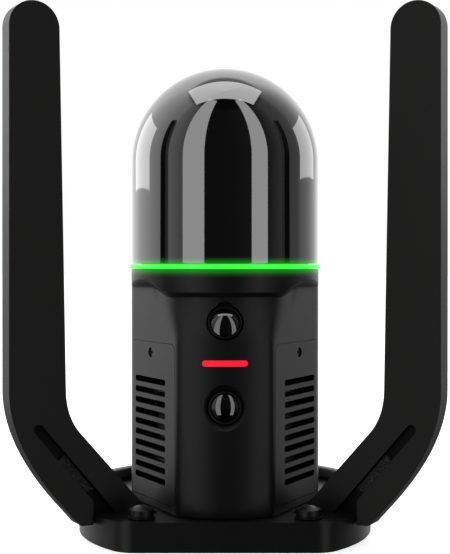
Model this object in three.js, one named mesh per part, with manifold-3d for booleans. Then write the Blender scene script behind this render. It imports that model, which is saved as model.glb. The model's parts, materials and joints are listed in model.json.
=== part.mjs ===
// A compact dome laser scanner on a carrier base with two guard arms.
// Millimetres, +Z up, the front faces -Y, and the underside of the base lies on z = 0 around the spin axis.
import * as THREE from 'three';
import { mergeVertices } from 'three/addons/utils/BufferGeometryUtils.js';
import Module from 'manifold-3d';

const wasm = await Module();
wasm.setup();

// ---- Driving dimensions ----
const gap = 0.3;                 // seam between fixed pieces
const running = 0.15;            // radial clearance of a running shaft
const housing = { radius: 40, flatCut: 4, flatAzimuth: 60, wall: 4.4, blend: 1.1, foot: 1.2 };
housing.flat = housing.radius - housing.flatCut;
const column = { proud: 3.8 };
column.radius = housing.radius + column.proud;
const base = { margin: 22, height: 11.8, frontCut: 14.5, corner: 12 };
base.radius = housing.radius + base.margin;
base.front = base.radius - base.frontCut;
const neck = { waist: 83.2, slope: 0.37, rearSlope: 0.45, rearFrom: 101, rearTo: 139, blend: 2.6 };
const collar = { edge: 98.6, rise: 3.4, top: 109.8, flange: 3, opening: 30, undercut: 0.2 };
const light = { height: 2.1, proud: 0.5, width: 4.3 };
light.radius = housing.radius + light.proud;
light.inner = light.radius - light.width;
const dome = { wall: 2.4, shoulder: 43.5, lipWidth: 5.5, lipHeight: 2.3 };
dome.lip = housing.radius - dome.lipWidth;
const seal = { margin: 0.2, clearance: 0.4 };
const panel = { lift: 3.7, top: 79.8, front: 22.4, rear: -22, corner: 3, thickness: 2, rearHalf: 14.6 };
panel.bottom = base.height + panel.lift;
const vent = { count: 10, pitch: 4.46, height: 2.5, first: 62.7, from: -13.3, to: 14.3, round: 0.8 };
const window = { lift: 4, top: 69.5, front: 18.5, rear: -16, rearHalf: 11.5 };
window.bottom = panel.bottom + window.lift;
const panelScrew = { along: 0.9, height: 75.5, headRadius: 1.7, well: 2, shank: 1, inset: 5 };
// An arm's places along its radius are counted outwards from the rim of the base
const arm = {
  azimuth: 60, thickness: 8, top: 214.1, width: 20.6, reach: 35.7, footReach: 12.4, clearance: 3,
  hookGap: 0.5, hookDrop: 3.8, hookEnd: 6.5, straightEnd: 13, outerBend: 63, innerBend: 62, slope: 1.13,
};
arm.outer = base.radius + arm.reach;
arm.inner = arm.outer - arm.width;
arm.toe = housing.flat + arm.clearance;
arm.hook = base.radius + arm.hookGap;
arm.hookBottom = base.height - arm.hookDrop;
const groove = {
  width: 4, depth: 3.5, headReach: 23.6, headHeight: 47.4, slope: 1.171, padFrom: 13.5, padTo: 0.8, padThickness: 1,
};
const knob = { azimuth: 40, inset: 10.7, radius: 5, height: 3.5, crown: 1.2, stem: 2.6, flangeWidth: 0.45, tabReach: 1.2 };
knob.flange = knob.radius + knob.flangeWidth;
knob.x = (base.radius - knob.inset) * Math.sin(knob.azimuth * Math.PI / 180);
knob.y = -(base.radius - knob.inset) * Math.cos(knob.azimuth * Math.PI / 180);
const camera = { height: 89.1, elevation: 25, barrel: 6.6, recessGap: 0.8, rim: 0.7, length: 14, azimuth: 120 };
camera.recess = camera.barrel + camera.recessGap;
camera.glass = camera.barrel - camera.rim;
const detail = { height: 55.6, barrel: 6.5, sinkWidth: 1.7, sinkDepth: 1.6, rim: 1.4, length: 14 };
detail.sink = detail.barrel + detail.sinkWidth;
detail.glass = detail.barrel - detail.rim;
const mark = { width: 18, height: 2.4, level: 73, thickness: 0.35 };
const glassSink = 2.2;           // how far the camera glasses sit behind their barrel rims
const fan = { size: 30, thickness: 7, rim: 1.4, tipGap: 0.8, hub: 5.5, inset: 5.8, height: 45, blades: 7 };
fan.bore = fan.size / 2 - fan.rim;
fan.tip = fan.bore - fan.tipGap;
fan.face = housing.flat - fan.inset;
const chassis = { half: 14, front: 15, rear: 18.5 };
const boards = { half: 23, lift: 8.2, top: 72 };
boards.bottom = base.height + boards.lift;
const deck = { bottom: 92.3, thickness: 3, clearance: 2.1 };
const spindle = { radius: 5, bottom: 84.5, flange: 14 };
const stator = { inner: 9.3, outer: 18, height: 10.7 };
const turret = { clearance: 1.5, lift: 3, thickness: 3.2, cheek: 19, cheekWidth: 5, halfDepth: 13, axis: 150 };
const mirror = { radius: 12, from: -13, to: 8, shaft: 3 };
const connector = { lift: 1.7, radius: 6.8, wall: 1.8, nutWidth: 1.6, reach: 4, inside: 8 };
connector.height = window.bottom + connector.radius + connector.lift;
connector.bore = connector.radius - connector.wall;
connector.nut = connector.radius + connector.nutWidth;
const rearRim = { overhang: 2.2, skirt: 3.5, bottom: 4, lift: 1.5, lip: 4, undercut: 1.8, from: 105 };
const screw = { shank: 1.6, head: 2.9, headHeight: 3, floor: 1 };

const domeBase = collar.top + light.height;
const domeShoulder = domeBase + dome.shoulder;
const bodyFoot = base.height;
turret.radius = dome.lip - turret.clearance;
turret.bottom = collar.top + turret.lift;

// ---- Colours ----
const finish = (color, roughness, metalness) => new THREE.MeshStandardMaterial({ color, roughness, metalness });
const paint = finish(0x161616, 0.5, 0.2);
const blackPlastic = finish(0x0c0c0c, 0.45, 0);
const rubber = finish(0x101010, 0.85, 0);
const domeGloss = finish(0x050505, 0.05, 0);
const glass = finish(0x080a0c, 0.03, 0);
const green = finish(0x4cff54, 0.4, 0);
const red = finish(0xe2231a, 0.5, 0);
const steel = finish(0x9a9a9a, 0.3, 1);
const aluminium = finish(0xb8babd, 0.4, 0.9);
const board = finish(0x14532d, 0.6, 0);
const brass = finish(0xb08d3c, 0.35, 1);
const silver = finish(0xe6e6e6, 0.05, 1);

// ---- Solids ----
const radians = THREE.MathUtils.degToRad;

function signedVolume(points, faces) {
  const corner = [0, 1, 2].map(() => new THREE.Vector3());
  let total = 0;
  for (let i = 0; i < faces.length; i += 3) {
    corner.forEach((vertex, k) => vertex.fromArray(points, faces[i + k] * 3));
    total += corner[0].dot(corner[1].cross(corner[2]));
  }
  return total;
}

function toSolid(geometry) {
  const bare = geometry.clone();
  bare.deleteAttribute('normal');
  bare.deleteAttribute('uv');
  const merged = mergeVertices(bare, 1e-4);
  const points = Float32Array.from(merged.attributes.position.array);
  const faces = [];
  for (let i = 0; i < merged.index.count; i += 3) {
    const [a, b, c] = [0, 1, 2].map((k) => merged.index.getX(i + k));
    if (a !== b && b !== c && c !== a) faces.push(a, b, c);
  }
  if (signedVolume(points, faces) < 0) faces.reverse();
  return new wasm.Manifold(new wasm.Mesh({ numProp: 3, vertProperties: points, triVerts: Uint32Array.from(faces) }));
}

function toGeometry(solid) {
  const mesh = solid.getMesh();
  const geometry = new THREE.BufferGeometry();
  geometry.setAttribute('position', new THREE.BufferAttribute(mesh.vertProperties, 3));
  geometry.setIndex(new THREE.BufferAttribute(mesh.triVerts, 1));
  geometry.computeVertexNormals();
  return geometry;
}

const combine = (how) => (first, ...others) => toGeometry(
  others.flat().reduce((solid, other) => solid[how](toSolid(other)), toSolid(first)),
);
const cut = combine('subtract');
const join = combine('add');
const overlap = combine('intersect');

const block = (x0, x1, y0, y1, z0, z1) => new THREE.BoxGeometry(x1 - x0, y1 - y0, z1 - z0)
  .translate((x0 + x1) / 2, (y0 + y1) / 2, (z0 + z1) / 2);

function revolve(profile, sides = 24) {
  const points = profile.map(([radius, height]) => new THREE.Vector2(radius, height));
  return new THREE.LatheGeometry(points, sides).rotateX(Math.PI / 2);
}

const rod = (radius, z0, z1, sides = 20) => revolve([[0, z0], [radius, z0], [radius, z1], [0, z1]], sides);

const ring = (inner, outer, z0, z1, sides = 24) => revolve(
  [[inner, z0], [outer, z0], [outer, z1], [inner, z1], [inner, z0]], sides,
);

const prism = (shape, z0, z1, curveSegments = 6) => new THREE.ExtrudeGeometry(
  shape, { depth: z1 - z0, bevelEnabled: false, curveSegments },
).translate(0, 0, z0);

function roundedRectangle(x0, x1, y0, y1, radius) {
  const shape = new THREE.Shape();
  shape.absarc(x1 - radius, y0 + radius, radius, -Math.PI / 2, 0);
  shape.absarc(x1 - radius, y1 - radius, radius, 0, Math.PI / 2);
  shape.absarc(x0 + radius, y1 - radius, radius, Math.PI / 2, Math.PI);
  shape.absarc(x0 + radius, y0 + radius, radius, Math.PI, Math.PI * 1.5);
  return shape;
}

// Turns a shape drawn along +Z so that +Z points outwards at an azimuth from the front and +Y points up.
function facing(geometry, azimuth, distance = 0, height = 0, elevation = 0) {
  const turn = new THREE.Matrix4().makeRotationZ(radians(azimuth));
  const stand = new THREE.Matrix4().makeRotationX(Math.PI / 2 - radians(elevation));
  const place = new THREE.Matrix4().makeTranslation(0, -distance, height);
  return geometry.clone().applyMatrix4(turn.multiply(place).multiply(stand));
}

// Places a geometry drawn upright at the front so that it stands at an azimuth.
const around = (geometry, azimuth) => geometry.clone().rotateZ(radians(azimuth));

// ---- Housing outline ----
const smooth = THREE.MathUtils.smoothstep;

function softMinimum(a, b, blend) {
  const near = Math.max(blend - Math.abs(a - b), 0) / blend;
  return Math.min(a, b) - near * near * blend / 4;
}

const flatRadius = (offset) => (Math.abs(offset) < 75 ? housing.flat / Math.cos(radians(offset)) : 1000);

// Outer radius of the housing below the collar, at an azimuth in degrees from the front.
function housingRadius(azimuth, height) {
  const turn = Math.abs(azimuth);
  const rise = Math.max(0, height - neck.waist);
  const rearDip = smooth(turn, neck.rearFrom, neck.rearFrom + 7) - smooth(turn, neck.rearTo - 7, neck.rearTo);
  const front = column.radius - neck.slope * rise;
  const rear = housing.radius - neck.rearSlope * rise * rearDip;
  const round = THREE.MathUtils.lerp(front, rear, smooth(turn, 50, 70));
  const blend = THREE.MathUtils.lerp(housing.blend, neck.blend, smooth(height, neck.waist - 4, neck.waist + 6));
  const sided = softMinimum(round, flatRadius(turn - housing.flatAzimuth), blend);
  return softMinimum(sided, flatRadius(180 - turn), housing.blend);
}

// Height of the collar's lower edge, which steps up over the flats.
function collarEdge(azimuth) {
  const turn = Math.abs(azimuth);
  const side = smooth(turn, 34, 56) - smooth(turn, 90, 98);
  return collar.edge + collar.rise * (side + smooth(turn, 142, 150));
}

// Azimuths of the outline's corners: each entry is where a stretch ends and how many steps it takes.
function azimuths(stretches) {
  const half = [0];
  for (const [end, steps] of stretches) {
    const start = half.at(-1);
    for (let i = 1; i <= steps; i += 1) half.push(start + (end - start) * i / steps);
  }
  return [...half, ...half.slice(1, -1).map((angle) => -angle).reverse()];
}
const fineAzimuths = azimuths([[20, 3], [31, 4], [80, 4], [92, 3], [107, 3], [133, 3], [140, 2], [160, 3], [180, 1]]);
const plainAzimuths = azimuths([[20, 2], [30, 2], [80, 2], [92, 1], [107, 1], [133, 2], [160, 2], [180, 1]]);

// A closed solid through stacked outlines; each row gives its radius and height at an azimuth.
function loft(rows, angles) {
  const profile = rows.map((row, i) => new THREE.Vector2(1, i));
  const geometry = new THREE.LatheGeometry(profile, angles.length);
  const position = geometry.attributes.position;
  for (let i = 0; i < position.count; i += 1) {
    const azimuth = angles[Math.floor(i / rows.length) % angles.length];
    const [radius, height] = rows[i % rows.length](azimuth);
    position.setXYZ(i, radius * Math.sin(radians(azimuth)), -radius * Math.cos(radians(azimuth)), height);
  }
  return geometry;
}

const atHeight = (height, inset = 0) => (azimuth) => [housingRadius(azimuth, height) - inset, height];
const onAxis = (height) => () => [0, height];

const housingBlank = loft([
  onAxis(bodyFoot),
  (azimuth) => [housingRadius(azimuth, bodyFoot) - housing.foot, bodyFoot],
  atHeight(bodyFoot + housing.foot),
  atHeight(neck.waist - 1),
  atHeight(neck.waist, 0.12),
  atHeight(neck.waist + 1),
  atHeight(88),
  atHeight(93.5),
  (azimuth) => [housingRadius(azimuth, collarEdge(azimuth)), collarEdge(azimuth) - collar.undercut],
  (azimuth) => [housing.radius, collarEdge(azimuth)],
  () => [housing.radius, collar.top],
  onAxis(collar.top),
], fineAzimuths);

const insetBlank = (inset, bottom, top, angles = fineAzimuths) => loft([
  onAxis(bottom), atHeight(bottom, inset), atHeight(top, inset), onAxis(top),
], angles);

const cavity = loft([
  onAxis(bodyFoot - 1),
  (azimuth) => [housingRadius(azimuth, bodyFoot) - housing.wall, bodyFoot - 1],
  atHeight(neck.waist, housing.wall),
  atHeight(collar.edge - 0.5, housing.wall),
  (azimuth) => [housingRadius(azimuth, collar.edge) - housing.wall, collar.top - collar.flange],
  onAxis(collar.top - collar.flange),
], plainAzimuths);

// ---- Vented panels ----
const sideOutline = (side, grow, opening) => {
  const [front, rear] = opening ? [window.front, window.rear] : [panel.front + grow, panel.rear - grow];
  const [bottom, top] = opening ? [window.bottom, window.top] : [panel.bottom - grow, panel.top + grow];
  const [left, right] = side > 0 ? [-front, -rear] : [rear, front];
  return roundedRectangle(left, right, bottom, top, panel.corner + grow);
};
const rearOutline = (grow, opening) => {
  const half = opening ? window.rearHalf : panel.rearHalf + grow;
  const [bottom, top] = opening ? [window.bottom, window.top] : [panel.bottom - grow, panel.top + grow];
  return roundedRectangle(-half, half, bottom, top, panel.corner + grow);
};
// A cutter that reaches outwards from an inner distance through an outline drawn on the flat.
const through = (shape, azimuth, from, curveSegments = 2) => facing(
  prism(shape, from, column.radius + 6, curveSegments), azimuth,
);
const panelSkin = cut(housingBlank, insetBlank(panel.thickness, panel.bottom - 3, panel.top + 3));
const wellPlug = insetBlank(panel.thickness + gap, panel.bottom - 3, panel.top + 3);

function panelWell(shape, azimuth) {
  return cut(through(shape, azimuth, housing.flat - 12), wellPlug);
}

function sideScrewPlace(side) {
  return [-side * panelScrew.along, panelScrew.height];
}

// ---- Cameras ----
const cameraAzimuths = { front: 0, right: camera.azimuth, left: -camera.azimuth };
const cameraDistance = (azimuth) => housingRadius(azimuth, camera.height);
// The deck ends short of the rear camera barrels, whose tops slope down past its edge
const tilt = radians(camera.elevation);
const barrelDepth = (camera.barrel * Math.cos(tilt) - (deck.bottom - camera.height)) / Math.sin(tilt);
deck.radius = cameraDistance(camera.azimuth) - barrelDepth * Math.cos(tilt) - camera.barrel * Math.sin(tilt) - deck.clearance;
const aimCamera = (geometry, azimuth) => facing(
  geometry, azimuth, cameraDistance(azimuth), camera.height, camera.elevation,
);
const cameraRecess = join(
  rod(camera.recess, -2.4, 6),
  rod(camera.recess / 2, -2, 6, 16).translate(0, camera.recess / 2 + 1.2, 0),
  rod(camera.barrel + gap, -camera.length - 4, 6),
);
const aimDetail = (geometry) => facing(geometry, 0, column.radius, detail.height);

function barrel(radius, aperture, length, recess) {
  const seat = -glassSink;
  return revolve([
    [0, -length], [radius, -length], [radius, -recess - 0.4], [radius - 0.4, -recess],
    [aperture + 0.5, -recess], [aperture, seat + 0.2], [aperture, seat - 2], [0, seat - 2],
  ], 20);
}

function capGlass(radius, curve, seat) {
  const rise = (distance) => Math.sqrt(curve * curve - distance * distance) - Math.sqrt(curve * curve - radius * radius);
  const crown = [1, 0.75, 0.5, 0.25, 0].map((share) => [radius * share, seat + rise(radius * share)]);
  return revolve([[0, seat - 1.5], [radius, seat - 1.5], ...crown], 20);
}

// ---- Assembly ----
const scanner = new THREE.Group();
function add(name, geometry, material, parent = scanner) {
  const mesh = new THREE.Mesh(toGeometry(toSolid(geometry)), material);
  mesh.name = name;
  parent.add(mesh);
  return mesh;
}

// Housing shell with its windows and camera bores
const detailSink = revolve([
  [0, -detail.length - 4], [detail.barrel + gap, -detail.length - 4], [detail.barrel + gap, -detail.sinkDepth],
  [detail.sink, 0], [detail.sink, 4], [0, 4],
], 24);
const sides = [[1, 'right'], [-1, 'left']];
const sideAzimuth = (side) => side * housing.flatAzimuth;
const screwHole = (x, y, azimuth) => facing(
  rod(panelScrew.shank + gap, housing.flat - 3.6, housing.flat, 10).translate(x, y, 0), azimuth,
);
const rearScrews = [-1, 1].map((side) => [side * (panel.rearHalf - panelScrew.inset), panelScrew.height]);

const housingTools = [
  cavity,
  rod(collar.opening, collar.top - collar.flange - 1, collar.top + 1, 32),
  aimDetail(detailSink),
  ...Object.values(cameraAzimuths).map((azimuth) => aimCamera(cameraRecess, azimuth)),
  ...sides.flatMap(([side]) => [
    panelWell(sideOutline(side, gap), sideAzimuth(side)),
    through(sideOutline(side, 0, true), sideAzimuth(side), housing.flat - 10),
    screwHole(...sideScrewPlace(side), sideAzimuth(side)),
  ]),
  panelWell(rearOutline(gap), 180),
  through(rearOutline(0, true), 180, housing.flat - 10),
  ...rearScrews.map(([x, y]) => screwHole(x, y, 180)),
];
add('housing_shell', cut(housingBlank, housingTools), paint);

function panelScrewAt(name, x, y, azimuth) {
  const head = revolve([
    [0, housing.flat - 3.3], [panelScrew.shank, housing.flat - 3.3], [panelScrew.shank, housing.flat - 1.5],
    [panelScrew.headRadius, housing.flat - 1.5], [panelScrew.headRadius, housing.flat - 0.7], [0, housing.flat - 0.7],
  ], 12);
  const socket = rod(0.7, housing.flat - 1.3, housing.flat, 6);
  add(name, facing(cut(head, socket).translate(x, y, 0), azimuth), steel);
}

// The screw's well in a panel: a wide mouth for the head, with a bore for the shank below it
const screwWell = (x, y) => revolve([
  [0, housing.flat - 4], [panelScrew.shank + gap, housing.flat - 4], [panelScrew.shank + gap, housing.flat - 1.8],
  [panelScrew.well, housing.flat - 1.8], [panelScrew.well, housing.flat + 1], [0, housing.flat + 1],
], 16).translate(x, y, 0);

for (const [side, label] of sides) {
  const [x, y] = sideScrewPlace(side);
  const [left, right] = side > 0 ? [-vent.to, -vent.from] : [vent.from, vent.to];
  const slots = Array.from({ length: vent.count }, (_, i) => {
    const top = vent.first + vent.height - i * vent.pitch;
    return through(roundedRectangle(left, right, top - vent.height, top, vent.round), sideAzimuth(side), 30, 1);
  });
  const plate = overlap(panelSkin, through(sideOutline(side, 0), sideAzimuth(side), housing.flat - 12));
  add(`${label}_vent_panel`, cut(plate, [...slots, facing(screwWell(x, y), sideAzimuth(side))]), paint);
  panelScrewAt(`${label}_panel_screw`, x, y, sideAzimuth(side));
}

const rearPlate = overlap(panelSkin, through(rearOutline(0), 180, housing.flat - 12));
const connectorPlace = (geometry) => facing(geometry, 180, housing.flat, connector.height);
add('rear_cover', cut(rearPlate, [
  ...rearScrews.map(([x, y]) => facing(screwWell(x, y), 180)),
  connectorPlace(rod(connector.radius + gap, -6, 6, 24)),
]), paint);
rearScrews.forEach(([x, y], i) => panelScrewAt(`rear_cover_screw_${i + 1}`, x, y, 180));

// Rear connector: a panel socket with its nut ring and a pin insert
add('rear_connector', connectorPlace(join(
  revolve([
    [0, -connector.inside], [connector.radius, -connector.inside], [connector.radius, connector.reach],
    [connector.bore, connector.reach], [connector.bore, 1.6 - connector.inside], [0, 1.6 - connector.inside],
  ]),
  ring(connector.bore + 0.6, connector.nut, gap, 1.8, 24),
)), steel);
const pins = [0, 1, 2, 3, 4].map((i) => rod(0.45, -4.5, -2.2, 6)
  .translate(2.6 * Math.cos(i * Math.PI * 0.4), 2.6 * Math.sin(i * Math.PI * 0.4), 0));
add('connector_insert', connectorPlace(join(rod(connector.bore - gap, 1.9 - connector.inside, -4), pins)), brass);

// Cameras
for (const [label, azimuth] of Object.entries(cameraAzimuths)) {
  add(`${label}_camera_barrel`, aimCamera(barrel(camera.barrel, camera.glass + 0.2, camera.length, 0.3), azimuth), blackPlastic);
  add(`${label}_camera_glass`, aimCamera(capGlass(camera.glass, 11, -glassSink), azimuth), glass);
}
add('detail_camera_barrel', aimDetail(barrel(detail.barrel, detail.glass + 0.2, detail.length, 0.6)), blackPlastic);
add('detail_camera_glass', aimDetail(capGlass(detail.glass, 8.5, -glassSink)), glass);
const markShape = roundedRectangle(-mark.width / 2, mark.width / 2, -mark.height / 2, mark.height / 2, mark.height / 2);
const markBlank = facing(prism(markShape, -3, 3, 4), 0, column.radius, mark.level);
const markBand = (inset) => insetBlank(inset, mark.level - mark.height, mark.level + mark.height);
add('front_mark', overlap(markBlank, cut(markBand(-mark.thickness - 0.02), markBand(-0.02))), red);

// Light ring, its board, the dome and its seal
add('light_ring', ring(light.inner, light.radius, collar.top, domeBase, 48), green);
add('dome_seal', ring(dome.lip + seal.margin, light.inner - seal.clearance, collar.top, domeBase, 32), rubber);
const domeArc = (radius, up) => {
  const steps = Array.from({ length: 9 }, (_, i) => (i * Math.PI) / 16);
  const arc = steps.map((turn) => [turn > 1.57 ? 0 : radius * Math.cos(turn), domeShoulder + radius * Math.sin(turn)]);
  return up ? arc : arc.reverse();
};
add('dome', revolve([
  [dome.lip, domeBase], [housing.radius, domeBase], ...domeArc(housing.radius, true),
  ...domeArc(housing.radius - dome.wall, false), [housing.radius - dome.wall, domeBase + dome.lipHeight],
  [dome.lip, domeBase + dome.lipHeight], [dome.lip, domeBase],
], 36), domeGloss);

// Base plate with its screw wells and fastener holes
function baseShape() {
  const reach = base.radius - base.corner;
  const drop = base.front - base.corner;
  const cornerX = Math.sqrt(reach * reach - drop * drop);
  const lean = Math.atan2(drop, cornerX);
  const shape = new THREE.Shape();
  const sweep = (Math.PI + 2 * lean) / 4;
  for (let i = 0; i < 4; i += 1) shape.absarc(0, 0, base.radius, i * sweep - lean, (i + 1) * sweep - lean);
  shape.absarc(-cornerX, -drop, base.corner, Math.PI + lean, Math.PI * 1.5);
  shape.absarc(cornerX, -drop, base.corner, -Math.PI / 2, -lean);
  return shape;
}
const armScrewPlaces = [arm.toe + 6, base.radius - 4];
const armScrewOffset = -1.3;
const bodyScrewRadius = 26;
const bodyScrewAzimuths = [0, 110, -110];
const armAzimuth = (side) => side * arm.azimuth;
const screwWellBelow = join(
  rod(screw.head + 0.4, -1, screw.floor + screw.headHeight + gap, 12),
  rod(screw.shank + gap, 0, base.height + 1, 12),
);
const armScrewSpots = sides.flatMap(([side, label]) => armScrewPlaces.map((distance, i) => {
  const spot = new THREE.Vector3(-side * armScrewOffset, -distance, 0).applyAxisAngle(
    new THREE.Vector3(0, 0, 1), radians(armAzimuth(side)),
  );
  return { name: `${label}_arm_screw_${i + 1}`, x: spot.x, y: spot.y, tip: base.height + 5 };
}));
const bodyScrewSpots = bodyScrewAzimuths.map((azimuth, i) => ({
  name: `housing_screw_${i + 1}`,
  x: bodyScrewRadius * Math.sin(radians(azimuth)),
  y: -bodyScrewRadius * Math.cos(radians(azimuth)),
  tip: base.height + 3,
}));
const knobHoles = sides.map(([side]) => join(rod(knob.stem + 0.5, -1, base.height + 1, 16), rod(6, -1, 3.6, 16))
  .translate(side * knob.x, knob.y, 0));
add('base_plate', cut(prism(baseShape(), 0, base.height, 7), [
  ...knobHoles,
  ...[...armScrewSpots, ...bodyScrewSpots].map(({ x, y }) => screwWellBelow.clone().translate(x, y, 0)),
]), paint);

for (const { name, x, y, tip } of [...armScrewSpots, ...bodyScrewSpots]) {
  const top = screw.floor + screw.headHeight;
  const bolt = revolve([
    [0, screw.floor], [screw.head, screw.floor], [screw.head, top], [screw.shank, top], [screw.shank, tip], [0, tip],
  ], 12);
  add(name, cut(bolt, rod(1.3, 0, 2.6, 6)).translate(x, y, 0), steel);
}

// Raised rim around the rear edge of the base
function rimSector(inner, outer) {
  const shape = new THREE.Shape();
  const from = radians(rearRim.from - 90);
  const to = Math.PI - from;
  shape.absarc(0, 0, outer, from, to);
  shape.absarc(0, 0, inner, to, from, true);
  return shape;
}
const rimInner = base.radius - rearRim.overhang;
const rimLip = base.height + rearRim.lift;
add('rear_rim', cut(prism(rimSector(rimInner, base.radius + rearRim.skirt), rearRim.bottom, rimLip + rearRim.lip, 12), [
  rod(base.radius + gap, 0, base.height + gap, 60),
  rod(rimInner + rearRim.undercut, base.height, rimLip, 48),
]), paint);

// Guard arms: a plate that stands on the base, hooks over its rim and bends upwards
function armShape() {
  const topRadius = arm.width / 2;
  const topCentre = arm.top - topRadius;
  const hookEnd = base.radius + arm.hookEnd;
  const straightEnd = base.radius + arm.straightEnd;
  const innerFoot = base.radius + arm.footReach;
  const footStart = arm.inner - arm.width * 0.42;
  const outerAt = (distance) => arm.hookBottom + 1.9 + (distance - hookEnd - 1.3) * arm.slope;
  const innerAt = (distance) => base.height + (distance - arm.toe) * arm.slope;
  const shape = new THREE.Shape();
  shape.moveTo(arm.toe, base.height);
  shape.lineTo(arm.hook, base.height);
  shape.lineTo(arm.hook, arm.hookBottom);
  shape.lineTo(hookEnd - 1.5, arm.hookBottom);
  shape.quadraticCurveTo(hookEnd, arm.hookBottom, hookEnd + 1.3, arm.hookBottom + 1.9);
  shape.lineTo(straightEnd, outerAt(straightEnd));
  shape.quadraticCurveTo(arm.outer, outerAt(arm.outer), arm.outer, arm.outerBend);
  shape.lineTo(arm.outer, topCentre);
  shape.absarc(arm.inner + topRadius, topCentre, topRadius, 0, Math.PI);
  shape.lineTo(innerFoot, arm.innerBend);
  shape.quadraticCurveTo(innerFoot - 0.2, innerAt(innerFoot), footStart, innerAt(footStart));
  shape.lineTo(arm.toe, base.height);
  return shape;
}

function grooveShape() {
  const headX = base.radius + groove.headReach;
  const headZ = groove.headHeight;
  const turn = Math.atan(groove.slope);
  const half = groove.width / 2;
  const along = (distance, aside) => [
    headX - distance * Math.cos(turn) + aside * Math.sin(turn),
    headZ - distance * Math.sin(turn) - aside * Math.cos(turn),
  ];
  const runOut = (headZ - base.height + 8) / Math.sin(turn);
  const shape = new THREE.Shape();
  shape.absarc(headX, headZ, half, turn - Math.PI / 2, turn + Math.PI / 2);
  shape.lineTo(...along(runOut, -half));
  shape.lineTo(arm.hook + 0.2, base.height - 8);
  const meet = (headX + half * Math.sin(turn) - arm.hook - 0.2) / Math.cos(turn);
  shape.lineTo(...along(meet, half));
  return shape;
}

function padShape() {
  const turn = Math.atan(groove.slope);
  const half = groove.width / 2 - gap;
  const headX = base.radius + groove.headReach;
  const headZ = groove.headHeight;
  const padFrom = base.radius + groove.padFrom;
  const padTo = base.radius + groove.padTo;
  const at = (x, aside) => [
    x + aside * Math.sin(turn),
    headZ - (headX - x) * groove.slope - aside * Math.cos(turn),
  ];
  const shape = new THREE.Shape();
  shape.moveTo(...at(padTo + 1.2, half));
  shape.lineTo(...at(padFrom, half));
  shape.lineTo(...at(padFrom, -half));
  shape.lineTo(...at(padTo, -half));
  return shape;
}

for (const [side, label] of sides) {
  // Drawn with the radial distance along +X and the front face towards side * -Y
  const holder = new THREE.Group();
  holder.rotation.z = radians(armAzimuth(side) - 90);
  scanner.add(holder);
  const half = arm.thickness / 2;
  const upright = (geometry) => geometry.clone().rotateX(Math.PI / 2);
  const layer = (shape, from, to) => (side > 0
    ? upright(prism(shape, from, to)) : upright(prism(shape, -to, -from)));
  const screwBores = armScrewPlaces.map((distance) => rod(screw.shank + gap, 0, base.height + 5.3, 12)
    .translate(distance, -side * armScrewOffset, 0));
  add(`${label}_arm`, cut(layer(armShape(), -half, half), [
    layer(grooveShape(), half - groove.depth, half + 1), ...screwBores,
  ]), paint, holder);
  const floor = half - groove.depth + gap;
  add(`${label}_arm_strip`, layer(padShape(), floor, floor + groove.padThickness), rubber, holder);
}

// Quarter-turn base fasteners: cap, stem and cross foot in one piece
for (const [side, label] of sides) {
  const seat = base.height + gap;
  const cap = revolve([
    [0, 0.9], [knob.stem, 0.9], [knob.stem, seat], [knob.flange, seat], [knob.flange, seat + 0.7],
    [knob.radius, seat + 0.7], [knob.radius, seat + knob.height - 0.4], [knob.radius * 0.72, seat + knob.height + 0.5],
    [knob.radius * 0.4, seat + knob.height + knob.crown - 0.2], [0, seat + knob.height + knob.crown],
  ], 20);
  const tab = block(0, knob.radius + knob.tabReach, -0.9, 0.9, seat + 1.6, seat + knob.height - 0.5).rotateZ(side > 0 ? Math.PI : 0);
  const foot = block(-4.6, 4.6, -1.7, 1.7, 0.9, 2.9);
  add(`${label}_knob`, join(cap, tab, foot).translate(side * knob.x, knob.y, 0), blackPlastic);
}

// Inside the housing: floor, frame, deck, boards, heat sink, fans
const floorPlate = insetBlank(housing.wall + gap, bodyFoot + gap, bodyFoot + 3, plainAzimuths);
add('housing_floor', cut(floorPlate, bodyScrewSpots.map(({ x, y }) => rod(screw.shank + gap, 0, 20, 12)
  .translate(x, y, 0))), aluminium);
const floorTop = bodyFoot + 3;
add('frame', join(
  block(-chassis.half, chassis.half, chassis.front - 6, chassis.rear, floorTop, floorTop + 3),
  block(-chassis.half, chassis.half, chassis.front, chassis.rear, floorTop, deck.bottom),
  block(-boards.half, boards.half, chassis.front, chassis.rear, boards.bottom + 2, boards.top - 4),
), aluminium);
add('bearing_deck', cut(rod(deck.radius, deck.bottom, deck.bottom + deck.thickness, 36), [
  rod(spindle.radius + 1, 80, 110),
]), aluminium);
add('main_board', join(
  block(-boards.half, boards.half, 8.6, 10.2, boards.bottom, boards.top),
  block(-15, -3, 10.1, 12, 50, 62), block(2, 12, 10.1, 11.8, 30, 40), block(14, 20, 10.1, 13, 55, 68),
), board);
const fins = Array.from({ length: 6 }, (_, i) => block(-10.4 + i * 3.92, -9.2 + i * 3.92, -16, 5.5, 23, 67));
add('heat_sink', join(block(-10.4, 10.4, 5, 8.3, 23, 67), fins), aluminium);
add('power_board', join(
  block(-20, 20, 20.5, 22, 22, 64), block(-16, -8, 21.9, 27, 46, 54), block(4, 14, 21.9, 26, 44, 58),
), board);
add('inertial_unit', block(-8, 8, -8, 6, floorTop, floorTop + 5), blackPlastic);

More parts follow.
